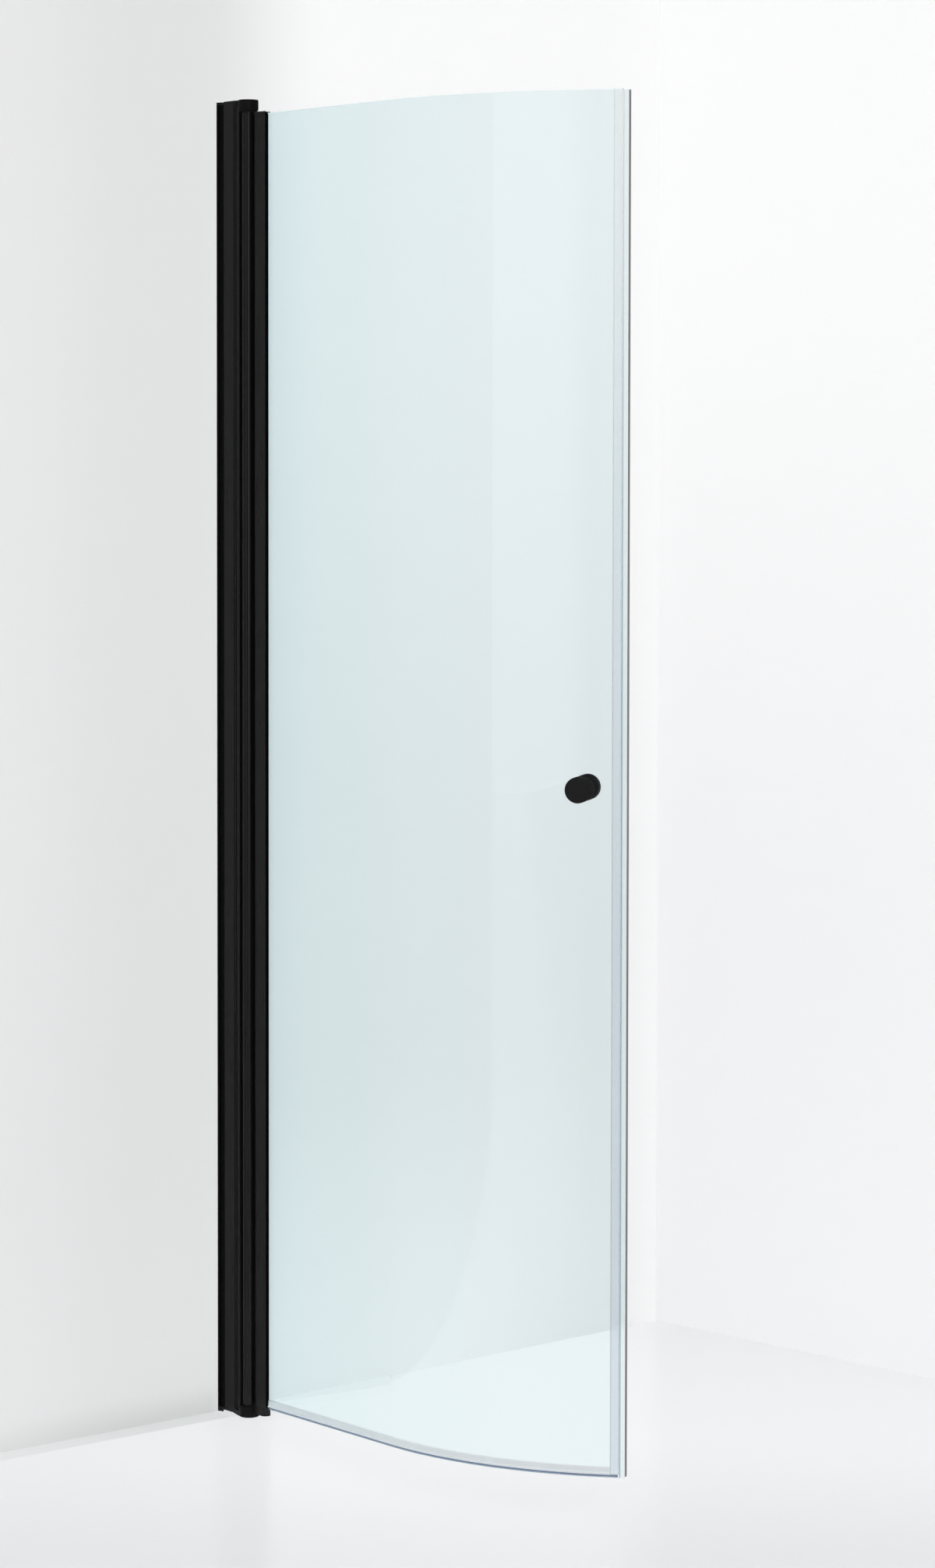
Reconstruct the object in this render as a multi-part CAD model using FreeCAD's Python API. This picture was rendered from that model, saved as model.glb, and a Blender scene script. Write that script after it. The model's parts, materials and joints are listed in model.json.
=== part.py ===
"""Curved pivot shower door: a wall channel, a hinge post that slides on it and a glass leaf on pivots."""
import FreeCAD
import Part
import math
import os

V = FreeCAD.Vector
UP = V(0, 0, 1)

# Millimetres. X runs out from the wall, -Y faces the room, +Y the shower, Z is up from the floor.
# The outer face of the straight glass lies on Y = 0, the middle of the wall channel.

# Whole door
overall_height = 1950.0
floor_gap = 3.0              # under the lower hinge arm
fit_gap = 0.03               # between a pressed or screwed piece and its hole
seat_gap = 0.2               # between a plastic piece and the metal that it plugs into

# Wall channel
channel_depth = 31.0
channel_wall = 1.6
channel_web = 2.2
flange_depth = 4.0
flange_lip = 1.9             # how far the flange stands past the channel's sides
flange_round = 1.0
slide_gap = 0.3              # each side, between the channel and the post
channel_foot = 7.0           # height of the plastic foot
foot_step = 10.0             # of the foot's depth, the part that reaches the floor
channel_lid = 2.5
top_drop = 1.6               # of the channel's lid under the top of the door
lid_block = 9.5              # of the lid's depth, the part that reaches the top of the door
wall_hole_radius = 2.75
wall_hole_inset = 130.0      # outermost wall screws from the channel's ends
wall_hole_count = 4

# Hinge post
post_width = 24.0
post_wall = 1.6
post_round = 1.2
recess_width = 14.0          # channel left showing between the flange and the post
adjust_room = 14.4           # free depth in front of the channel, for the wall adjustment
chamber_depth = 8.4          # nose chamber that takes the arms' tongues
groove_width = 2.2
groove_depth = 0.8
groove_pitch = 4.8
groove_setback = 7.2         # from the nose's end to the nearer groove's middle
lid_thickness = 1.2
lid_skirt = 6.0
lid_skirt_depth = 2.4
post_foot = 6.6              # height of the post's lower cap

# Hinge arms, pins and bearings
arm_radius = 15.0
arm_thickness = 8.0
arm_round = 1.5
arm_setback = 2.0            # from the post's inner web to the root of the upper arm
lower_arm_reach = 7.5        # how much further back the lower arm's root lies, under the post
boss_height = 8.5
boss_chamfer = 2.5
tongue_length = 60.0
pin_radius = 4.0
pin_cover = 3.0              # metal left over the pin's outer end
pin_engagement = 18.0        # pin inside the door's barrel
bush_wall = 2.0
bush_length = 20.0
bush_flange = 1.5
bush_flange_radius = 8.8
washer_thickness = 0.8
run_gap = 0.1                # axial play on the thrust washer
pin_clearance = 0.05         # radial, pin in bush

# Screws on the shower side of the post
arm_screw_radius = 2.0
arm_screw_length = 14.0
arm_screw_inset = 15.0       # first screw from the tongue's root
arm_screw_pitch = 30.0
clamp_screw_radius = 2.0
clamp_screw_setback = 4.5    # from the post's wall-side edge
clamp_screw_inset = 285.0    # outermost clamp screws from the post's ends
clamp_screw_count = 3
screw_head_radius = 3.8
screw_head_height = 2.2
screw_socket_radius = 1.4
screw_socket_depth = 1.3

# Post seal
seal_slot = 2.4
seal_head_width = 6.0
seal_head_depth = 1.4
lip_gap = 0.35               # between the lip and the barrel

# Door profile
barrel_radius = 9.25
barrel_gap = 1.75            # between the post's nose and the barrel
barrel_slot_width = 1.0
barrel_slot_depth = 0.9
barrel_slot_angle = -47.0    # degrees from +X
profile_wall = 1.8
pocket_depth = 24.7
rear_setback = 7.5           # the pocket's rear wall ends this much before the front one
neck_start = 10.0            # from the pivot to the rear wall's hinge-side corner
neck_front = 1.5             # the neck's front face, behind the outer face of the glass
leg_offset = 17.5            # from the pivot to the hinge side of the glass pocket
leg_round = 1.2
neck_seat = 2.3              # from the pivot to where the neck's rear face leaves the barrel
glass_rise = 3.5             # glass above the profile's lower end
glass_drop = 2.5             # glass below the profile's upper end

# Glass
glass_thickness = 6.0
glass_arris = 0.5
glass_inset = 3.0            # between the glass edge and the bottom of the pocket
straight_length = 297.0      # from the profile's mouth to the bend
arc_radius = 493.0           # outer face
closing_turn = 45.0          # degrees, at the magnet's end

# Gaskets and plugs
gasket_thickness = 2.7
gasket_bead = 1.2            # bead that stands out of the pocket
gasket_lip = 0.9             # bead over the end of the profile's wall
gasket_round = 0.7
foot_height = 13.0
foot_setback = 3.5           # from the profile's mouth to the foot's round nose
foot_round = 7.4
foot_gap = 0.8               # between the foot and the lower arm's round end
neck_plate = 1.2             # thickness of the plugs' plates over the neck's ends
plate_lap = 3.0              # of the upper plate over its plug

# Bottom seal
seal_wall = 1.2
clip_gap = 0.1               # between a seal's legs and the glass
seal_leg = 8.5
seal_base = 1.4
seal_drop = 5.8              # lowest point under the glass
bulb_inset = 0.6
bulb_wall = 0.9
bulb_bevel = 1.5
seal_start_gap = 0.3

# Closing seal and magnet
closing_leg = 11.0
closing_web = 1.6
chamber_length = 8.1
chamber_wall = 1.0
chamber_spread = 0.5         # chamber past each glass face
magnet_depth = 2.3
magnet_spread = 1.0          # magnet past each glass face
closing_rise = 0.4           # clip above the glass
closing_top_drop = 1.5       # chamber and magnet below the glass top
magnet_rise = 2.5            # magnet above the chamber's lower end

# Knob
knob_height = 973.0
knob_edge_distance = 52.0    # from the glass edge
knob_radius = 18.0
knob_base_radius = 16.8
knob_length = 33.0           # from the glass to the knob's face
knob_taper = 12.0
knob_round = 1.2
knob_washer = 1.0
knob_washer_radius = 14.0
stud_radius = 3.0
stud_depth = 15.0            # in each knob
glass_hole_radius = 6.0

# Plan of the post and the channel
post_half = post_width / 2
post_inner = post_half - post_wall
channel_half = post_inner - slide_gap
channel_inner = channel_half - channel_wall
flange_half = channel_half + flange_lip
post_start = flange_depth + recess_width
web_start = channel_depth + adjust_room
chamber_start = web_start + post_wall
chamber_end = chamber_start + chamber_depth
post_end = chamber_end + post_wall
arm_start = chamber_start + arm_setback
lower_arm_start = arm_start - lower_arm_reach

# Plan of the leaf
pivot_x = post_end + barrel_gap + barrel_radius
pivot_y = barrel_radius - post_half
neck_x = pivot_x + neck_start
leg_x = pivot_x + leg_offset
pocket_start = leg_x + profile_wall
profile_end = pocket_start + pocket_depth
rear_end = profile_end - rear_setback
glass_start = pocket_start + glass_inset
pocket_front = -gasket_thickness
pocket_back = glass_thickness + gasket_thickness
leg_front = pocket_front - profile_wall
leg_back = pocket_back + profile_wall
arc_start = profile_end + straight_length
arc_axis = V(arc_start, arc_radius, 0)
magnet_end = arc_start + arc_radius * math.radians(closing_turn)
magnet_start = magnet_end - magnet_depth
chamber_station = magnet_start - chamber_length
glass_end = chamber_station - closing_web
closing_start = glass_end - closing_leg
knob_station = glass_end - knob_edge_distance
bore_radius = pin_radius + pin_clearance + bush_wall
plate_start = pivot_x + bush_flange_radius + seat_gap

# Heights
lower_reach = arm_thickness + boss_height
upper_reach = lower_reach + washer_thickness
lower_plate_top = floor_gap + arm_thickness
upper_plate_low = overall_height - arm_thickness
post_low = lower_plate_top
post_cap_low = post_low - post_foot
post_high = overall_height - lid_thickness
channel_high = overall_height - top_drop - channel_lid
hinge_gap = washer_thickness + run_gap + bush_flange
profile_low = lower_plate_top + boss_height + hinge_gap
profile_high = upper_plate_low - boss_height - hinge_gap
glass_low = profile_low + glass_rise
glass_high = profile_high - glass_drop
seal_low = glass_low - seal_drop


# Shapes that several pieces use

def box(x, y, z):
    """Block between two values on each axis."""
    return Part.makeBox(x[1] - x[0], y[1] - y[0], z[1] - z[0], V(x[0], y[0], z[0]))


def prism(points, z):
    """Upright solid on a plan outline."""
    corners = [V(px, py, z[0]) for px, py in points]
    return Part.Face(Part.makePolygon(corners + corners[:1])).extrude(V(0, 0, z[1] - z[0]))


def pivot_bar(radius, z):
    """Upright cylinder on the pivot."""
    return Part.makeCylinder(radius, z[1] - z[0], V(pivot_x, pivot_y, z[0]))


def upright_edges(shape, places):
    """Edges along Z that stand on the given plan points."""
    near = 0.01
    found = []
    for edge in shape.Edges:
        b = edge.BoundBox
        if b.XLength > near or b.YLength > near:
            continue
        if any(abs(b.XMin - px) < near and abs(b.YMin - py) < near for px, py in places):
            found.append(edge)
    return found


def level_edges(shape, axis, place):
    """Edges that lie in one plane across the named axis."""
    near = 0.01
    found = []
    for edge in shape.Edges:
        low = getattr(edge.BoundBox, axis + "Min")
        high = getattr(edge.BoundBox, axis + "Max")
        if abs(low - place) < near and abs(high - place) < near:
            found.append(edge)
    return found


def evenly(start, end, inset, count):
    """Places at equal steps between two ends, the outermost ones an inset from them."""
    step = (end - start - 2 * inset) / (count - 1)
    return [start + inset + i * step for i in range(count)]


def section(points):
    """Face across the glass: pairs of offset towards the shower and height."""
    corners = [V(0, offset, height) for offset, height in points]
    return Part.Face(Part.makePolygon(corners + corners[:1]))


def oblong(offset, z):
    """Rectangular section between two offsets and two heights."""
    return section([(offset[0], z[0]), (offset[1], z[0]), (offset[1], z[1]), (offset[0], z[1])])


def turn_at(station):
    """Bend of the glass, in degrees, at a distance along its outer face from the wall."""
    return math.degrees((station - arc_start) / arc_radius)


def along_glass(face, start, end):
    """Solid that follows the glass between two stations."""
    runs = []
    if start < arc_start:
        straight = face.translated(V(start, 0, 0))
        runs.append(straight.extrude(V(min(end, arc_start) - start, 0, 0)))
    if end > arc_start:
        first = max(start, arc_start)
        bent = face.translated(V(arc_start, 0, 0))
        bent.rotate(arc_axis, UP, turn_at(first))
        runs.append(bent.revolve(arc_axis, UP, turn_at(end) - turn_at(first)))
    solid = runs[0]
    for run in runs[1:]:
        solid = solid.fuse(run).removeSplitter()
    return solid


def at_knob(shape):
    """Moves a shape made about the Y axis, with the outer glass face on Y = 0, to the knob's place."""
    shape = shape.translated(V(arc_start, 0, knob_height))
    shape.rotate(arc_axis, UP, turn_at(knob_station))
    return shape


def turned(profile):
    """Solid of revolution about the Y axis from pairs of radius and Y."""
    corners = [V(radius, y, 0) for radius, y in profile]
    return Part.Face(Part.makePolygon(corners + corners[:1])).revolve(V(0, 0, 0), V(0, 1, 0), 360)


def pan_screw(x, z, shank_radius, length):
    """Pan-head screw that enters the post from the shower side."""
    inward = V(0, -1, 0)
    seat = V(x, post_half, z)
    shank = Part.makeCylinder(shank_radius, length, seat, inward)
    head = Part.makeCylinder(screw_head_radius, screw_head_height, seat, V(0, 1, 0))
    head = head.makeFillet(screw_head_height / 2, level_edges(head, "Y", post_half + screw_head_height))
    face = V(x, post_half + screw_head_height, z)
    socket = Part.makeCylinder(screw_socket_radius, screw_socket_depth, face, inward)
    return head.fuse(shank).cut(socket)


def cross_bore(x, z, radius, depth):
    """Hole for a screw from the shower side of the post."""
    return Part.makeCylinder(radius, depth, V(x, post_half, z), V(0, -1, 0))


# Places of the screws

arm_screw_x = chamber_start + chamber_depth / 2
arm_screw_steps = (arm_screw_inset, arm_screw_inset + arm_screw_pitch)
arm_screw_heights = [lower_plate_top + step for step in arm_screw_steps]
arm_screw_heights += [upper_plate_low - step for step in arm_screw_steps]
clamp_screw_x = post_start + clamp_screw_setback
clamp_screw_heights = evenly(post_low, post_high, clamp_screw_inset, clamp_screw_count)
wall_hole_heights = evenly(channel_foot, channel_high, wall_hole_inset, wall_hole_count)


# Wall channel and its end pieces

def channel_outline(z):
    """Solid outline of the channel with its flange."""
    flange = box((0, flange_depth), (-flange_half, flange_half), z)
    outer = [(flange_depth, -flange_half), (flange_depth, flange_half)]
    flange = flange.makeFillet(flange_round, upright_edges(flange, outer))
    return flange.fuse(box((0, channel_depth), (-channel_half, channel_half), z)).removeSplitter()


def wall_channel():
    z = (channel_foot, channel_high)
    shape = channel_outline(z).cut(box((channel_web, channel_depth), (-channel_inner, channel_inner), z))
    for height in wall_hole_heights:
        hole = Part.makeCylinder(wall_hole_radius, channel_web, V(0, 0, height), V(1, 0, 0))
        shape = shape.cut(hole)
    return shape


def channel_top_cap():
    lid = channel_outline((channel_high, channel_high + channel_lid))
    inner = channel_inner - seat_gap
    skirt_z = (channel_high - lid_skirt, channel_high)
    plug = box((channel_web + seat_gap, channel_depth), (-inner, inner), skirt_z)
    core = inner - channel_wall
    plug = plug.cut(box((channel_web + channel_wall, channel_depth), (-core, core), skirt_z))
    block = channel_outline((channel_high + channel_lid, overall_height))
    block = block.cut(box((lid_block, channel_depth), (-channel_half, channel_half),
                          (channel_high + channel_lid, overall_height)))
    return lid.fuse([plug, block]).removeSplitter()


def channel_bottom_cap():
    z = (0, channel_foot)
    foot = channel_outline(z).cut(box((channel_web, channel_depth), (-channel_inner, channel_inner), z))
    return foot.cut(box((foot_step, channel_depth), (-channel_half, channel_half), (0, post_cap_low)))


# Hinge post and its end pieces

def hinge_post():
    z = (post_low, post_high)
    shape = box((post_start, post_end), (-post_half, post_half), z)
    corners = [(x, y) for x in (post_start, post_end) for y in (-post_half, post_half)]
    shape = shape.makeFillet(post_round, upright_edges(shape, corners))
    shape = shape.cut(box((post_start, web_start), (-post_inner, post_inner), z))
    shape = shape.cut(box((chamber_start, chamber_end), (-post_inner, post_inner), z))
    for step in range(2):
        middle = post_end - groove_setback - step * groove_pitch
        groove = (middle - groove_width / 2, middle + groove_width / 2)
        shape = shape.cut(box(groove, (-post_half, -post_half + groove_depth), z))
    slot = (pivot_y - seal_slot / 2, pivot_y + seal_slot / 2)
    shape = shape.cut(box((chamber_end, post_end), slot, z))
    shape = shape.cut(box((arm_start, post_end), (-post_half, post_half), (upper_plate_low, post_high)))
    for height in arm_screw_heights:
        shape = shape.cut(cross_bore(arm_screw_x, height, arm_screw_radius + fit_gap, post_wall))
    for height in clamp_screw_heights:
        shape = shape.cut(cross_bore(clamp_screw_x, height, clamp_screw_radius + fit_gap, post_wall))
    return shape


def post_top_lid():
    lid = box((post_start, arm_start), (-post_half, post_half), (post_high, overall_height))
    corners = [(post_start, -post_half), (post_start, post_half)]
    lid = lid.makeFillet(post_round, upright_edges(lid, corners))
    skirt_x = (web_start - lid_skirt_depth, web_start - seat_gap)
    inner = post_inner - seat_gap
    return lid.fuse(box(skirt_x, (-inner, inner), (post_high - lid_skirt, post_high)))


def post_bottom_cap():
    z = (post_cap_low, post_low)
    cap = box((post_start, lower_arm_start), (-post_half, post_half), z)
    corners = [(post_start, -post_half), (post_start, post_half)]
    cap = cap.makeFillet(post_round, upright_edges(cap, corners))
    return cap.cut(box((post_start, lower_arm_start - post_wall), (-post_inner, post_inner), z))


# Hinge arms, pins and bearings

def hinge_arm(end, way, root_x, reach, flush):
    """Arm between its root and the pivot, with a boss that reaches towards the door.

    way is +1 where the door lies above the arm and -1 where it lies below. A flush arm keeps the post's
    front face up to its round end.
    """
    def span(near, far):
        return tuple(sorted((end + way * near, end + way * far)))

    plate_z = span(0, arm_thickness)
    boss = pivot_bar(arm_radius, span(0, reach))
    boss = boss.makeChamfer(boss_chamfer, level_edges(boss, "Z", end + way * reach))
    beside_post = box((root_x, post_end + seat_gap), (-post_width, post_width), span(arm_thickness, reach))
    boss = boss.cut(beside_post)
    root = [(root_x, -post_half), (root_x, post_half)]
    tangents = []
    for px, py in root:
        away = math.hypot(px - pivot_x, py - pivot_y)
        heading = math.atan2(py - pivot_y, px - pivot_x)
        swing = math.acos(arm_radius / away)
        sense = -1 if py > 0 else 1
        angle = heading + sense * swing
        tangents.append((pivot_x + arm_radius * math.cos(angle), pivot_y + arm_radius * math.sin(angle)))
    front = [tangents[0]]
    if flush:
        meet = pivot_x - math.sqrt(arm_radius ** 2 - (post_half + pivot_y) ** 2)
        front = [(meet, -post_half), (pivot_x, pivot_y)]
    plate = prism([root[0]] + front + [tangents[1], root[1]], plate_z)
    arm = plate.fuse(boss).removeSplitter()
    rim = [e for e in level_edges(arm, "Z", end) if e.BoundBox.XLength > arm_round]
    arm = arm.makeFillet(arm_round, rim)
    inner = post_inner - seat_gap
    tongue_x = (chamber_start + seat_gap, chamber_end - seat_gap)
    tongue = box(tongue_x, (-inner, inner), span(arm_thickness, arm_thickness + tongue_length))
    arm = arm.fuse(tongue).removeSplitter()
    arm = arm.cut(pivot_bar(pin_radius + fit_gap, span(pin_cover, reach)))
    screw_depth = post_wall + arm_screw_length
    for height in arm_screw_heights:
        arm = arm.cut(cross_bore(arm_screw_x, height, arm_screw_radius + fit_gap, screw_depth))
    return arm


def pivot_pin(z):
    return pivot_bar(pin_radius, z)


def bush(barrel_end, way):
    """Flanged bearing at one end of the barrel; way is +1 at the lower end and -1 at the upper end."""
    def span(near, far):
        return tuple(sorted((barrel_end + way * near, barrel_end + way * far)))

    shape = pivot_bar(bore_radius - fit_gap, span(0, bush_length))
    shape = shape.fuse(pivot_bar(bush_flange_radius, span(-bush_flange, 0)))
    return shape.cut(pivot_bar(pin_radius + pin_clearance, span(-bush_flange, bush_length)))


def thrust_washer():
    z = (lower_plate_top + boss_height, lower_plate_top + boss_height + washer_thickness)
    return pivot_bar(bush_flange_radius, z).cut(pivot_bar(pin_radius + fit_gap, z))


def arm_screws():
    shank = post_wall + arm_screw_length
    screws = [pan_screw(arm_screw_x, h, arm_screw_radius, shank) for h in arm_screw_heights]
    return Part.makeCompound(screws)


def clamp_screws():
    shank = post_wall + slide_gap - fit_gap
    screws = [pan_screw(clamp_screw_x, h, clamp_screw_radius, shank) for h in clamp_screw_heights]
    return Part.makeCompound(screws)


def post_seal():
    z = (lower_plate_top + tongue_length + seat_gap, upper_plate_low - tongue_length - seat_gap)
    head = (pivot_y - seal_head_width / 2, pivot_y + seal_head_width / 2)
    stem = (pivot_y - seal_slot / 2 + fit_gap, pivot_y + seal_slot / 2 - fit_gap)
    shape = box((chamber_end - seal_head_depth, chamber_end), head, z)
    shape = shape.fuse(box((chamber_end, pivot_x - barrel_radius), stem, z))
    return shape.cut(pivot_bar(barrel_radius + lip_gap, z)).removeSplitter()


# Door profile, plugs and gaskets

def door_profile():
    z = (profile_low, profile_high)
    barrel = pivot_bar(barrel_radius, z)
    seat = (pivot_x + neck_seat, pivot_y + math.sqrt(barrel_radius ** 2 - neck_seat ** 2))
    outline = [(leg_x, leg_front), (profile_end, leg_front), (profile_end, leg_back), (neck_x, leg_back)]
    leg = prism(outline + [seat, (pivot_x, neck_front), (leg_x, neck_front)], z)
    leg = leg.makeFillet(leg_round, upright_edges(leg, [(leg_x, leg_front)]))
    shape = barrel.fuse(leg).removeSplitter()
    shape = shape.cut(box((pocket_start, profile_end), (pocket_front, pocket_back), z))
    shape = shape.cut(box((rear_end, profile_end), (pocket_back, leg_back), z))
    shape = shape.cut(box((neck_x + profile_wall, leg_x), (neck_front + profile_wall, pocket_back), z))
    shape = shape.cut(pivot_bar(bore_radius, z))
    slot_x = (barrel_radius - barrel_slot_depth, barrel_radius + barrel_slot_depth)
    slot = box(slot_x, (-barrel_slot_width / 2, barrel_slot_width / 2), z)
    slot.rotate(V(0, 0, 0), UP, barrel_slot_angle)
    return shape.cut(slot.translated(V(pivot_x, pivot_y, 0)))


def door_top_plug():
    z = (glass_high, profile_high)
    y = (pocket_front + seat_gap / 2, pocket_back - seat_gap / 2)
    plug = box((pocket_start + seat_gap / 2, rear_end), y, z)
    plate_x = (plate_start, pocket_start + plate_lap)
    plate = box(plate_x, (neck_front, y[1]), (profile_high, profile_high + neck_plate))
    return plug.fuse(plate).removeSplitter()


def door_bottom_plug():
    z = (profile_low - foot_height, profile_low)
    foot_start = pivot_x + arm_radius + foot_gap
    foot_end = profile_end - foot_setback
    foot = box((foot_start, foot_end), (leg_front, leg_back), z)
    ends = [(foot_end, leg_front), (foot_end, leg_back)]
    foot = foot.makeFillet(foot_round, upright_edges(foot, ends))
    y = (pocket_front + seat_gap / 2, pocket_back - seat_gap / 2)
    rest = box((pocket_start + seat_gap / 2, rear_end), y, (profile_low, glass_low))
    plate = box((plate_start, foot_start), (neck_front, leg_back), (profile_low - neck_plate, profile_low))
    return foot.fuse([rest, plate]).removeSplitter()


def gasket(wall_face, glass_face, wall_end):
    """Strip between the profile's wall and the glass, with a bead at the end of the wall."""
    z = (glass_low, glass_high)
    strip = box((glass_start, wall_end), sorted((wall_face, glass_face)), z)
    outward = math.copysign(gasket_lip, wall_face - glass_face)
    bead = box((wall_end, wall_end + gasket_bead), sorted((wall_face + outward, glass_face)), z)
    rim = [(wall_end + gasket_bead, wall_face + outward)]
    bead = bead.makeFillet(gasket_round, upright_edges(bead, rim))
    return strip.fuse(bead).removeSplitter()


# Glass and seals

def glass_pane():
    inner = glass_thickness - glass_arris
    face = section([
        (glass_arris, glass_low), (inner, glass_low), (glass_thickness, glass_low + glass_arris),
        (glass_thickness, glass_high - glass_arris), (inner, glass_high), (glass_arris, glass_high),
        (0, glass_high - glass_arris), (0, glass_low + glass_arris)])
    pane = along_glass(face, glass_start, glass_end)
    hole = turned([(0, -glass_thickness), (glass_hole_radius, -glass_thickness),
                   (glass_hole_radius, 2 * glass_thickness), (0, 2 * glass_thickness)])
    return pane.cut(at_knob(hole))


def bottom_seal():
    start = profile_end + gasket_bead + seal_start_gap
    legs_end = closing_start - seal_start_gap
    base_low = glass_low - seal_base
    leg_top = glass_low + seal_leg
    inside = (-clip_gap, glass_thickness + clip_gap)
    outside = (inside[0] - seal_wall, inside[1] + seal_wall)
    front, rear = bulb_inset, glass_thickness - bulb_inset
    bulb = [
        (outside[1], base_low), (rear, base_low), (rear, seal_low + bulb_bevel),
        (rear - bulb_bevel, seal_low), (front + bulb_bevel, seal_low),
        (front, seal_low + bulb_bevel), (front, base_low), (outside[0], base_low)]
    legs = [
        (outside[0], leg_top), (inside[0], leg_top), (inside[0], glass_low),
        (inside[1], glass_low), (inside[1], leg_top), (outside[1], leg_top)]
    top = [(outside[0], glass_low), (outside[1], glass_low)]
    hollow = oblong((front + bulb_wall, rear - bulb_wall), (seal_low + bulb_bevel, base_low))
    clip = along_glass(section(legs + bulb).cut(hollow).Faces[0], start, legs_end)
    tail = along_glass(section(top + bulb).cut(hollow).Faces[0], legs_end, glass_end)
    return clip.fuse(tail).removeSplitter()


def closing_seal():
    clip_z = (glass_low, glass_high + closing_rise)
    soft_z = (seal_low, glass_high - closing_top_drop)
    inside = (-clip_gap, glass_thickness + clip_gap)
    outside = (inside[0] - seal_wall, inside[1] + seal_wall)
    web_start_station = glass_end + clip_gap
    outer = along_glass(oblong((outside[0], inside[0]), clip_z), closing_start, web_start_station)
    inner = along_glass(oblong((inside[1], outside[1]), clip_z), closing_start, web_start_station)
    web = along_glass(oblong(outside, clip_z), web_start_station, chamber_station)
    wide = (-chamber_spread, glass_thickness + chamber_spread)
    chamber = along_glass(oblong(wide, soft_z), chamber_station, magnet_start)
    narrow = (wide[0] + chamber_wall, wide[1] - chamber_wall)
    hollow = along_glass(oblong(narrow, soft_z), chamber_station, magnet_start - chamber_wall)
    return outer.fuse([inner, web, chamber.cut(hollow)]).removeSplitter()


def magnet_strip():
    z = (seal_low + magnet_rise, glass_high - closing_top_drop)
    return along_glass(oblong((-magnet_spread, glass_thickness + magnet_spread), z), magnet_start, magnet_end)


# Knob, one half on each side of the glass

def knob_half(seat, way):
    """Half of the knob; seat is the glass face on Y and way the direction out of it."""
    base = seat + way * knob_washer
    face = seat + way * knob_length
    shoulder = base + way * knob_taper
    side = [(knob_base_radius, base), (knob_radius, shoulder), (knob_radius, face)]
    body = turned([(0, base)] + side + [(0, face)])
    body = body.makeFillet(knob_round, level_edges(body, "Y", face))
    thread = Part.makeCylinder(stud_radius + fit_gap, stud_depth, V(0, base, 0), V(0, way, 0))
    return at_knob(body.cut(thread))


def knob_washer_ring(seat, way, pane):
    """Soft washer cut to the bend of the glass."""
    inner = stud_radius + fit_gap
    sunk, proud = seat - way * knob_washer, seat + way * knob_washer
    ring = turned([(inner, sunk), (knob_washer_radius, sunk), (knob_washer_radius, proud), (inner, proud)])
    sleeve_room = Part.makeCylinder(glass_hole_radius, glass_thickness, V(0, 0, 0), V(0, 1, 0))
    return at_knob(ring.cut(sleeve_room)).cut(pane)


def knob_stud():
    ends = (-knob_washer - stud_depth, glass_thickness + knob_washer + stud_depth)
    return at_knob(Part.makeCylinder(stud_radius, ends[1] - ends[0], V(0, ends[0], 0), V(0, 1, 0)))


def knob_sleeve():
    outer = glass_hole_radius - fit_gap
    inner = stud_radius + fit_gap
    return at_knob(turned([(inner, 0), (outer, 0), (outer, glass_thickness), (inner, glass_thickness)]))


# Every piece by name

pane = glass_pane()
pieces = {
    "wall_channel": wall_channel(),
    "channel_top_cap": channel_top_cap(),
    "channel_bottom_cap": channel_bottom_cap(),
    "hinge_post": hinge_post(),
    "post_top_lid": post_top_lid(),
    "post_bottom_cap": post_bottom_cap(),
    "top_hinge_arm": hinge_arm(overall_height, -1, arm_start, upper_reach, True),
    "bottom_hinge_arm": hinge_arm(floor_gap, 1, lower_arm_start, lower_reach, False),
    "top_pivot_pin": pivot_pin((profile_high - pin_engagement, overall_height - pin_cover)),
    "bottom_pivot_pin": pivot_pin((floor_gap + pin_cover, profile_low + pin_engagement)),
    "thrust_washer": thrust_washer(),
    "arm_screws": arm_screws(),
    "clamp_screws": clamp_screws(),
    "post_seal": post_seal(),
    "door_profile": door_profile(),
    "door_top_plug": door_top_plug(),
    "door_bottom_plug": door_bottom_plug(),
    "top_bush": bush(profile_high, -1),
    "bottom_bush": bush(profile_low, 1),
    "outer_gasket": gasket(pocket_front, 0, profile_end),
    "inner_gasket": gasket(pocket_back, glass_thickness, rear_end),
    "glass_pane": pane,
    "bottom_seal": bottom_seal(),
    "closing_seal": closing_seal(),
    "magnet_strip": magnet_strip(),
    "outer_knob": knob_half(0, -1),
    "inner_knob": knob_half(glass_thickness, 1),
    "outer_knob_washer": knob_washer_ring(0, -1, pane),
    "inner_knob_washer": knob_washer_ring(glass_thickness, 1, pane),
    "knob_stud": knob_stud(),
    "knob_sleeve": knob_sleeve(),
}

os.makedirs("parts", exist_ok=True)
for name, shape in pieces.items():
    shape.exportStep(f"parts/{name}.step")
    box_of = shape.BoundBox
    print(f"{name:20s} valid {shape.isValid()} solids {len(shape.Solids)} volume {shape.Volume:.0f}",
          f"X {box_of.XMin:.1f} {box_of.XMax:.1f} Y {box_of.YMin:.1f} {box_of.YMax:.1f}",
          f"Z {box_of.ZMin:.1f} {box_of.ZMax:.1f}")
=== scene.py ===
"""Looks of the curved pivot shower door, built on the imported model."""
import json
import math
import bpy
from mathutils import Matrix, Vector

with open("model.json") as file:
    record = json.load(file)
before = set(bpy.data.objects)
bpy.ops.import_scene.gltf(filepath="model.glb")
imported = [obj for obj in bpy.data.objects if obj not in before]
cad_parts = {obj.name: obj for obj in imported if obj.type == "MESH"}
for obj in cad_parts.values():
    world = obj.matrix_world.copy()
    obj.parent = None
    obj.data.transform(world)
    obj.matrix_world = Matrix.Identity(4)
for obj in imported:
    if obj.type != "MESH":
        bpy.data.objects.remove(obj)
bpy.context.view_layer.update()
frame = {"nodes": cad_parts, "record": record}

nodes = frame["nodes"]
scene = bpy.context.scene
looks = {}

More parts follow.
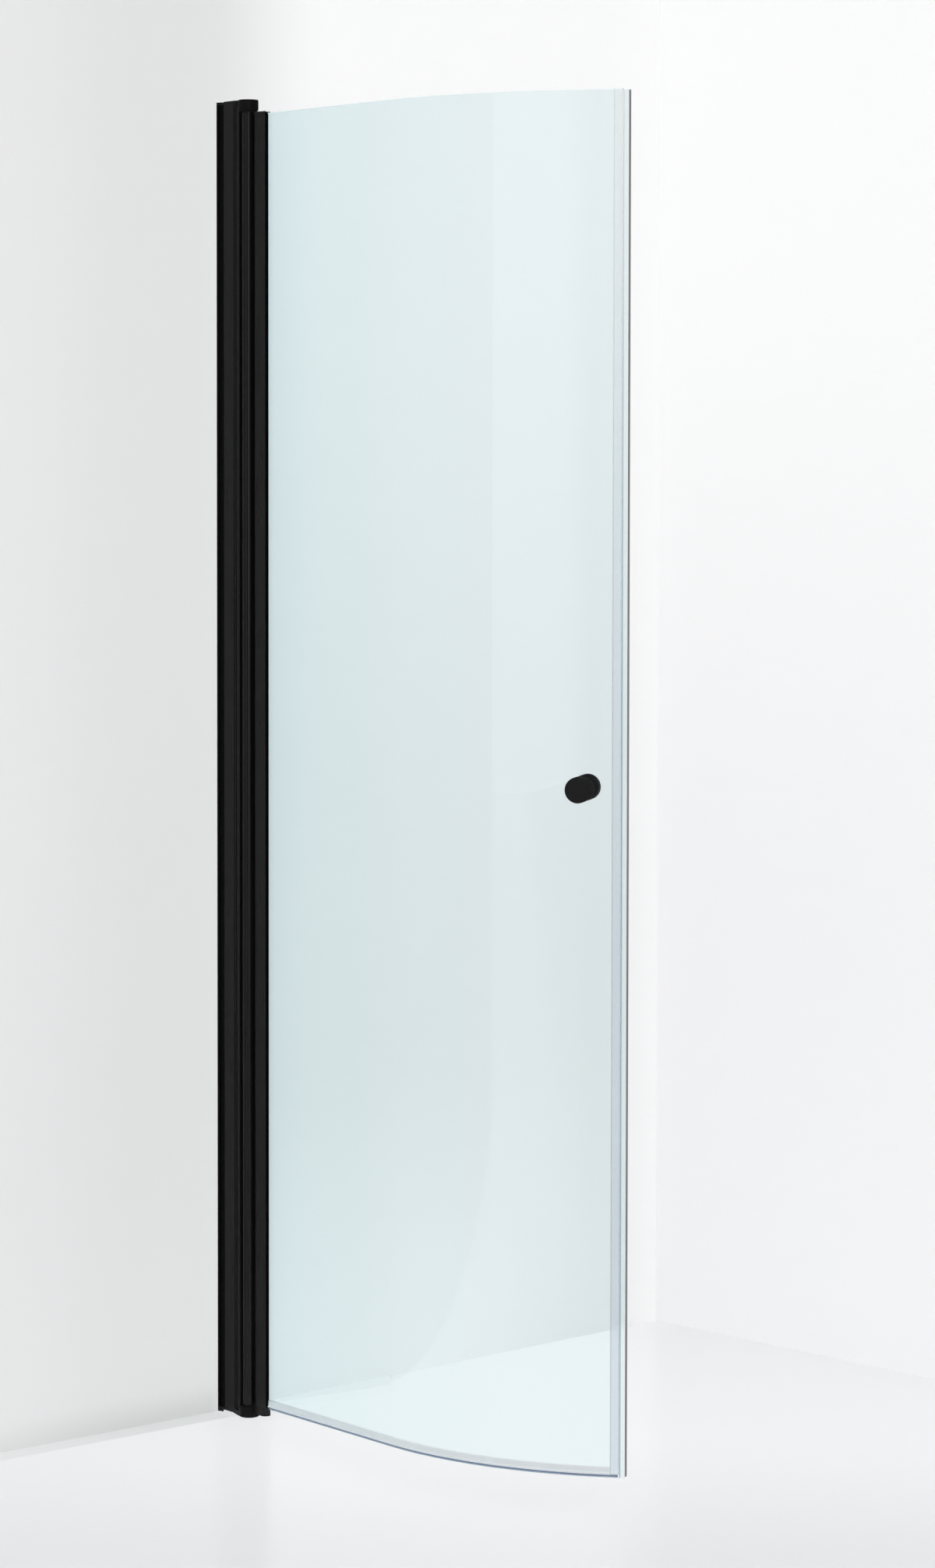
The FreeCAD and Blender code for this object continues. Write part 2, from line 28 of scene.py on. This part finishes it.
# Directions in the part's own axes
UP = (0, 0, 1)
OUT = (1, 0, 0)
IN = (0, 1, 0)
ROOM = (0, -1, 0)
NEAR = (0.78, -0.62, 0)
FROM_WALL = (0.995, 0.059, 0)
CLOSING = (math.sqrt(0.5), math.sqrt(0.5), 0)

# How noises are drawn out, and the part of their range that is used
EVEN = (1, 1, 1)
EXTRUDED = (1, 1, 0.03)
TURNED = (1, 1, 0.2)
PULLED = (1, 1, 0.05)
NOISE_MIDDLE = (0.3, 0.7)
BROAD_SHARE = 0.06
BROAD_DETAIL = 3.0
FINE_DETAIL = 5.0
GRAIN_DEPTH = 0.00005


# Shader nodes

def join(tree, value, socket):
    """Gives a socket a plain value or another node's output."""
    if isinstance(value, bpy.types.NodeSocket):
        tree.links.new(value, socket)
    else:
        socket.default_value = value


def added(tree, kind, sockets=None, **settings):
    """New node with its settings, and with values or other nodes' outputs on its sockets."""
    node = tree.nodes.new(kind)
    for key, value in settings.items():
        setattr(node, key, value)
    for key, value in (sockets or {}).items():
        join(tree, value, node.inputs[key])
    return node


def math_node(tree, operation, *values):
    """Math node whose inputs are numbers or other nodes' outputs."""
    return added(tree, "ShaderNodeMath", dict(enumerate(values)), operation=operation).outputs["Value"]


def map_range(tree, value, span, results, **settings):
    """Value carried from a span of input to a span of results."""
    sockets = {"Value": value, "From Min": span[0], "From Max": span[1], "To Min": results[0], "To Max": results[1]}
    return added(tree, "ShaderNodeMapRange", sockets, **settings).outputs["Result"]


def noise(tree, scale, stretch=EVEN, detail=BROAD_DETAIL):
    """Noise on the object's own metres, drawn out along an axis by a small factor there."""
    place = added(tree, "ShaderNodeTexCoord").outputs["Object"]
    place = added(tree, "ShaderNodeMapping", {"Vector": place, "Scale": stretch}).outputs["Vector"]
    return added(tree, "ShaderNodeTexNoise", {"Vector": place, "Scale": scale, "Detail": detail}).outputs["Fac"]


def between(tree, factor, low, high):
    """Colour that runs from low to high over the middle of a noise."""
    ramp = added(tree, "ShaderNodeValToRGB", {"Fac": factor})
    for element, place, colour in zip(ramp.color_ramp.elements, NOISE_MIDDLE, (low, high)):
        element.position = place
        element.color = (*colour, 1)
    return ramp.outputs["Color"]


def step_along(tree, way, start, end, before=0.0, after=1.0, soft=False):
    """Value that turns from one to another between two places along a direction on the object."""
    place = added(tree, "ShaderNodeTexCoord").outputs["Object"]
    along = added(tree, "ShaderNodeVectorMath", {0: place, 1: way}, operation="DOT_PRODUCT").outputs["Value"]
    kind = "SMOOTHSTEP" if soft else "LINEAR"
    return map_range(tree, along, (start, end), (before, after), interpolation_type=kind)


def share_of(tree, fades):
    """Product of soft steps.

    fades gives, for each direction, the place where the share is least, the place where it is 1, and the least.
    """
    share = 1.0
    for way, (first, second, least) in fades.items():
        share = math_node(tree, "MULTIPLY", share, step_along(tree, way, first, second, least, soft=True))
    return share


def mixed_colours(tree, factor, first, second):
    """Mix of two colours."""
    sockets = {"Factor": factor, "A": first, "B": second}
    return added(tree, "ShaderNodeMix", sockets, data_type="RGBA").outputs["Result"]


def mixed_shaders(tree, factor, first, second):
    """Mix of two shaders."""
    return added(tree, "ShaderNodeMixShader", {"Fac": factor, 1: first, 2: second}).outputs["Shader"]


def reflected(tree):
    """1 for rays that a glossy surface reflects, which a ray through glass is not."""
    rays = added(tree, "ShaderNodeLightPath").outputs
    return math_node(tree, "SUBTRACT", rays["Is Glossy Ray"], rays["Is Transmission Ray"])


# Materials

def shader_nodes(name):
    """New node material, its tree and its shader."""
    mat = bpy.data.materials.new(name)
    mat.use_nodes = True
    tree = mat.node_tree
    return mat, tree, tree.nodes["Principled BSDF"]


def bumped(tree, shader, height, strength, distance):
    """Bump on a shader."""
    bump = added(tree, "ShaderNodeBump", {"Strength": strength, "Distance": distance, "Height": height})
    join(tree, bump.outputs["Normal"], shader.inputs["Normal"])


def grey(value, blue=1.0):
    """Grey, with more or less blue in it."""
    return (value, value, value * blue)


def surface(name, shades, rough, grain, stretch=EVEN, bump=0.15, level=0.5, metal=0.0):
    """Opaque look: two cool greys and two roughnesses over a broad noise, with a fine grain as bump."""
    looks[name], tree, shader = shader_nodes(name)
    broad = noise(tree, grain * BROAD_SHARE, stretch)
    join(tree, between(tree, broad, *(grey(shade, 1.03) for shade in shades)), shader.inputs["Base Color"])
    join(tree, map_range(tree, broad, NOISE_MIDDLE, rough), shader.inputs["Roughness"])
    bumped(tree, shader, noise(tree, grain, stretch, FINE_DETAIL), bump, GRAIN_DEPTH)
    shader.inputs["Specular IOR Level"].default_value = level
    shader.inputs["Metallic"].default_value = metal


def clear(name, tints, rough, grain, ior, stretch=EVEN):
    """See-through look with a tint that drifts a little over it; gives its tree and its shader."""
    looks[name], tree, shader = shader_nodes(name)
    join(tree, between(tree, noise(tree, grain, stretch), *tints), shader.inputs["Base Color"])
    shader.inputs["Roughness"].default_value = rough
    shader.inputs["IOR"].default_value = ior
    shader.inputs["Transmission Weight"].default_value = 1.0
    return tree, shader


def clear_plastic(name, tints):
    """See-through look of the extruded seals; gives its tree and its shader."""
    drift = 30
    tree, shader = clear(name, tints, 0.12, drift, 1.15, PULLED)
    bumped(tree, shader, noise(tree, drift * 40, PULLED), 0.1, 0.0001)
    return tree, shader


def retint(tree, shader, factor, tint):
    """Turns the base colour to a tint where the factor is 1."""
    socket = shader.inputs["Base Color"]
    join(tree, mixed_colours(tree, factor, socket.links[0].from_socket, (*tint, 1)), socket)


surface("black_aluminium", (0.0018, 0.0028), (0.26, 0.34), 2600, EXTRUDED, bump=0.08, level=0.28)
# Painted shade: the wall channel is a darker copy of the black aluminium, standing in for the shade in its recess
# beside the post
surface("shaded_black_channel", (0.0015, 0.0022), (0.4, 0.5), 2600, EXTRUDED, level=0.04)
surface("black_casting", (0.004, 0.006), (0.38, 0.48), 1800, level=0.07)
surface("black_plastic", (0.004, 0.006), (0.42, 0.54), 2200, level=0.25)
surface("black_knob", (0.0125, 0.015), (0.5, 0.6), 3000, level=0.002)
surface("black_rubber", (0.001, 0.0015), (0.66, 0.8), 1500, EXTRUDED, level=0.05)
surface("steel", (0.46, 0.56), (0.26, 0.38), 1400, TURNED, metal=1.0)
surface("bearing_plastic", (0.004, 0.006), (0.4, 0.5), 900, level=0.2)
surface("magnet_grey", (0.15, 0.19), (0.5, 0.6), 1600, EXTRUDED)

# Glass: paler towards the free edge, ground on its upper and lower edges
GLASS_TOP = nodes["glass_pane"].bound_box[6][2]
GLASS_LOW = nodes["glass_pane"].bound_box[0][2]
GROUND_OUTSIDE, GROUND_INSIDE = 0.0006, 0.0008
tree, shader = clear("glass", ((0.775, 0.91, 0.935), (0.80, 0.93, 0.945)), 0.0, 1.6, 1.5)
retint(tree, shader, step_along(tree, OUT, 0.15, 0.6), (0.85, 0.93, 0.94))
upper = step_along(tree, UP, GLASS_TOP - GROUND_INSIDE, GLASS_TOP - GROUND_OUTSIDE)
lower = step_along(tree, UP, GLASS_LOW + GROUND_INSIDE, GLASS_LOW + GROUND_OUTSIDE)
ground = math_node(tree, "MAXIMUM", upper, lower)
join(tree, math_node(tree, "MULTIPLY_ADD", ground, -0.85, 1.0), shader.inputs["Transmission Weight"])
join(tree, math_node(tree, "MULTIPLY", ground, 0.5), shader.inputs["Roughness"])

# Closing seal: paler towards the top as painted light, with painted shade in darker lines at its leg's edge and its
# web, which fade there
GLASS_END = max(Vector(CLOSING).dot(v.co) for v in nodes["glass_pane"].data.vertices)
LEG_END = min(Vector(CLOSING).dot(v.co) for v in nodes["closing_seal"].data.vertices)
CHAMBER = GLASS_END + 0.0022
tree, shader = clear_plastic("clear_pvc", ((0.875, 0.885, 0.91), (0.905, 0.91, 0.93)))
retint(tree, shader, step_along(tree, UP, 0.75, 1.9), (0.97, 0.965, 0.96))
faint = step_along(tree, UP, 1.1, 1.9, 1.0, 0.35)
for start, end, tint in ((LEG_END + 0.0016, LEG_END + 0.0008, (0.74, 0.78, 0.82)),
                         (GLASS_END, GLASS_END + 0.0003, (0.61, 0.70, 0.76))):
    line = math_node(tree, "MULTIPLY", step_along(tree, CLOSING, start, end), faint)
    retint(tree, shader, line, tint)
retint(tree, shader, step_along(tree, CLOSING, CHAMBER, CHAMBER + 0.0016), (0.90, 0.94, 0.945))

# Drip seal: darker at its bulb, below the glass
tree, shader = clear_plastic("drip_pvc", ((0.875, 0.865, 0.875), (0.90, 0.885, 0.895)))
retint(tree, shader, step_along(tree, UP, GLASS_LOW - 0.001, GLASS_LOW - 0.0018), (0.40, 0.47, 0.56))

look_of = {part["node"]: part["material_slot"] for part in frame["record"]["subparts"]}
# the wall channel takes the darker look that paints shade on it
look_of["wall_channel"] = "shaded_black_channel"
look_of["bottom_seal"] = "drip_pvc"
for name, obj in nodes.items():
    obj.data.materials.clear()
    obj.data.materials.append(looks[look_of[name]])
    obj.visible_diffuse = False
for name in ("glass_pane", "bottom_seal", "closing_seal"):
    nodes[name].visible_shadow = False


# Floor and two walls

def sheet(name, corners, mat):
    """Flat piece of the stage."""
    mesh = bpy.data.meshes.new(name)
    mesh.from_pydata(corners, [], [range(len(corners))])
    mesh.materials.append(mat)
    obj = bpy.data.objects.new(name, mesh)
    scene.collection.objects.link(obj)
    return obj


def pale(name, base, layers, rough, level, mirrored=1.0, glow=0.0, one_sided=False):
    """Pale stage material: other colours over a base one, each with its fades.

    mirrored is the share of its brightness that glossy surfaces see, as a number or as fades, and glow how far
    it turns to plain white for rays through the glass. A one-sided one isn't seen from behind.
    """
    mat, tree, shader = shader_nodes(name)
    colour = (*base, 1)
    for tint, fades in layers:
        colour = mixed_colours(tree, share_of(tree, fades), colour, (*tint, 1))
    kept = share_of(tree, mirrored) if isinstance(mirrored, dict) else mirrored
    loss = math_node(tree, "MULTIPLY", reflected(tree), math_node(tree, "SUBTRACT", 1.0, kept))
    sockets = {"Vector": colour, "Scale": math_node(tree, "SUBTRACT", 1.0, loss)}
    scaled = added(tree, "ShaderNodeVectorMath", sockets, operation="SCALE")
    join(tree, scaled.outputs["Vector"], shader.inputs["Base Color"])
    shader.inputs["Roughness"].default_value = rough
    shader.inputs["Specular IOR Level"].default_value = level
    out = shader.outputs["BSDF"]
    if glow:
        through = added(tree, "ShaderNodeLightPath").outputs["Is Transmission Ray"]
        white = added(tree, "ShaderNodeEmission").outputs["Emission"]
        out = mixed_shaders(tree, math_node(tree, "MULTIPLY", through, glow), out, white)
    if one_sided:
        behind = added(tree, "ShaderNodeNewGeometry").outputs["Backfacing"]
        gone = added(tree, "ShaderNodeBsdfTransparent").outputs["BSDF"]
        out = mixed_shaders(tree, behind, out, gone)
    join(tree, out, tree.nodes["Material Output"].inputs["Surface"])
    return mat


# The walls follow the photo's lines, and the side wall turns back in the room, clear of the open leaf
FLOOR = -0.001
REACH = 12.0
RISE = Vector((0, 0, 8.0))
CORNER = Vector((-0.098, 0.941, FLOOR))
POST_FOOT = CORNER + Vector((0.1013, -0.9948, 0)) * 0.964
SIDE_END = POST_FOOT + Vector((0.0645, -0.9979, 0)) * 3.04
FAR_END = CORNER + Vector((0.997, 0.078, 0)) * REACH
WALL_ROUGH = 0.6
WALL_LEVEL = 0.2

# Painted light on the floor, paler near the door and far out in the room, and painted shade in a darker strip at
# the side wall's foot
floor_painted_light_and_shade = [
    ((0.975, 0.98, 0.99), {NEAR: (1.0, 0.1, 0.0)}),
    ((0.97, 0.975, 0.985), {NEAR: (1.0, 3.0, 0.0)}),
    ((0.83, 0.85, 0.845), {FROM_WALL: (0.044, 0.036, 0.0), ROOM: (0.0, 0.03, 0.0), IN: (-0.45, -0.1, 0.6)}),
]
floor_look = pale("floor", (0.83, 0.835, 0.85), floor_painted_light_and_shade, 0.18, 0.025,
                  mirrored={OUT: (3.0, 1.0, 0.1)}, glow=0.75)

# Painted light and shade on the side wall: paler layers for the room end, the upper wall in the shower, the lower
# wall behind the glass and the corner, and painted shade at the foot in the room
side_painted_light_and_shade = [
    (grey(0.76), {ROOM: (0.15, 0.45, 0.0)}),
    (grey(0.915), {IN: (-0.06, 0.22, 0.1), UP: (0.5, 2.1, 0.6)}),
    (grey(0.93), {IN: (0.0, 0.15, 0.15), ROOM: (-0.85, -0.4, 0.0), UP: (0.55, -0.05, 0.0)}),
    (grey(0.935), {IN: (0.8, 0.97, 0.0)}),
    ((0.65, 0.665, 0.66), {UP: (0.05, 0.0, 0.0), ROOM: (0.0, 0.03, 0.0), IN: (-0.45, -0.1, 0.35)}),
]
side_look = pale("wall_side", (0.70, 0.71, 0.705), side_painted_light_and_shade, WALL_ROUGH, WALL_LEVEL,
                 mirrored=0.47, one_sided=True)
# Painted light: the far wall is paler towards the top
far_look = pale("wall_far", (0.83, 0.83, 0.84), [(grey(0.93), {UP: (0.6, 2.0, 0.4)})], WALL_ROUGH, WALL_LEVEL,
                one_sided=True)

floor_corners = [(x * REACH, y * REACH, FLOOR) for x, y in ((-1, -1), (1, -1), (1, 1), (-1, 1))]
floor = sheet("floor", floor_corners, floor_look)
sheet("wall_side", [POST_FOOT, CORNER, CORNER + RISE, POST_FOOT + RISE], side_look)
sheet("wall_room", [SIDE_END, POST_FOOT, POST_FOOT + RISE, SIDE_END + RISE], side_look)
far = sheet("wall_far", [CORNER, FAR_END, FAR_END + RISE, CORNER + RISE], far_look)
far.visible_glossy = False


# World: white wherever the camera or the glass looks through, but reflections see a dim side and back

LIT_STRENGTH = 0.28
SEEN_COLOUR = (0.96, 0.965, 0.97, 1)
DIM_SPANS = {"X": (0.3, 0.48), "Y": (0.0, 0.35)}
DIM_LEVEL = 0.1
world = bpy.data.worlds.new("studio")
scene.world = world
world.use_nodes = True
tree = world.node_tree
place = added(tree, "ShaderNodeTexCoord").outputs["Generated"]
split = added(tree, "ShaderNodeSeparateXYZ", {"Vector": place})
levels = [map_range(tree, split.outputs[axis], span, (1.0, DIM_LEVEL)) for axis, span in DIM_SPANS.items()]
lit = tree.nodes["Background"]
lit.inputs["Color"].default_value = (1, 1, 1, 1)
lit.inputs["Strength"].default_value = LIT_STRENGTH
loss = math_node(tree, "SUBTRACT", math_node(tree, "MINIMUM", *levels), 1.0)
loss = math_node(tree, "MULTIPLY", reflected(tree), loss)
strength = math_node(tree, "ADD", 1.0, loss)
seen = added(tree, "ShaderNodeBackground", {"Color": SEEN_COLOUR, "Strength": strength})
rays = added(tree, "ShaderNodeLightPath").outputs
direct = math_node(tree, "MAXIMUM", rays["Is Camera Ray"], rays["Is Glossy Ray"])
direct = math_node(tree, "MAXIMUM", direct, rays["Is Transmission Ray"])
both = mixed_shaders(tree, direct, lit.outputs["Background"], seen.outputs["Background"])
join(tree, both, tree.nodes["World Output"].inputs["Surface"])


# Lamps

DOOR_MIDDLE = Vector((0.1, 0.0, 1.0))


def lamp(kind, name, towards, energy, away=0.0, **shape):
    """Light on the side that towards points to; a sun's distance counts for nothing."""
    light = bpy.data.lights.new(name, kind)
    light.energy = energy
    for key, value in shape.items():
        setattr(light, key, value)
    obj = bpy.data.objects.new(name, light)
    way = Vector(towards).normalized()
    obj.location = DOOR_MIDDLE + way * away
    obj.rotation_euler = way.to_track_quat("Z", "Y").to_euler()
    obj.visible_camera = False
    obj.visible_transmission = False
    scene.collection.objects.link(obj)
    return obj


# Each sun's side, strength and width in degrees
suns = {
    "from_above": ((0.0, 0.0, 1.0), 0.46, 100),
    "from_room": ((0.22, -1.0, 0.8), 1.55, 90),
    "from_right": ((1.0, -0.3, 0.5), 0.55, 60),
    "from_front": ((0.86, -0.51, 0.2), 0.33, 25),
}
for name, (towards, energy, degrees) in suns.items():
    sun = lamp("SUN", name, towards, energy, angle=math.radians(degrees))
    sun.visible_glossy = False

# The strip gives the black profiles their highlights, and the floor and the glass don't mirror it
strip = lamp("AREA", "strip", (0.86, -0.51, 0.05), 50, away=6.0, shape="RECTANGLE", size=1.0, size_y=4.0)
strip.visible_diffuse = False
unlit = bpy.data.collections.new("unlit")
for obj in (floor, nodes["glass_pane"]):
    unlit.objects.link(obj)
for entry in unlit.collection_objects:
    entry.light_linking.link_state = "EXCLUDE"
strip.light_linking.receiver_collection = unlit


# Camera at the photograph's place

PHOTO_HEIGHT = 2012
FOCAL_PIXELS = 5400.0
AXIS_ROW = 829.6
SENSOR = 36.0
PLACE = (5.1263, -3.6015, 1.426)
PITCH = math.radians(2.564)
HEADING = math.radians(51.59)
ROLL = math.radians(0.087)
camera_data = bpy.data.cameras.new("camera")
camera_data.sensor_width = SENSOR
camera_data.lens = FOCAL_PIXELS / PHOTO_HEIGHT * SENSOR
camera_data.shift_y = (AXIS_ROW - PHOTO_HEIGHT / 2) / PHOTO_HEIGHT
camera_data.clip_start = 0.1
camera_data.clip_end = 100.0
camera = bpy.data.objects.new("camera", camera_data)
camera.matrix_world = (Matrix.Translation(PLACE)
                       @ Matrix.Rotation(HEADING, 4, "Z")
                       @ Matrix.Rotation(math.radians(90) - PITCH, 4, "X")
                       @ Matrix.Rotation(ROLL, 4, "Z"))
scene.collection.objects.link(camera)
scene.camera = camera
scene.view_settings.view_transform = "Standard"
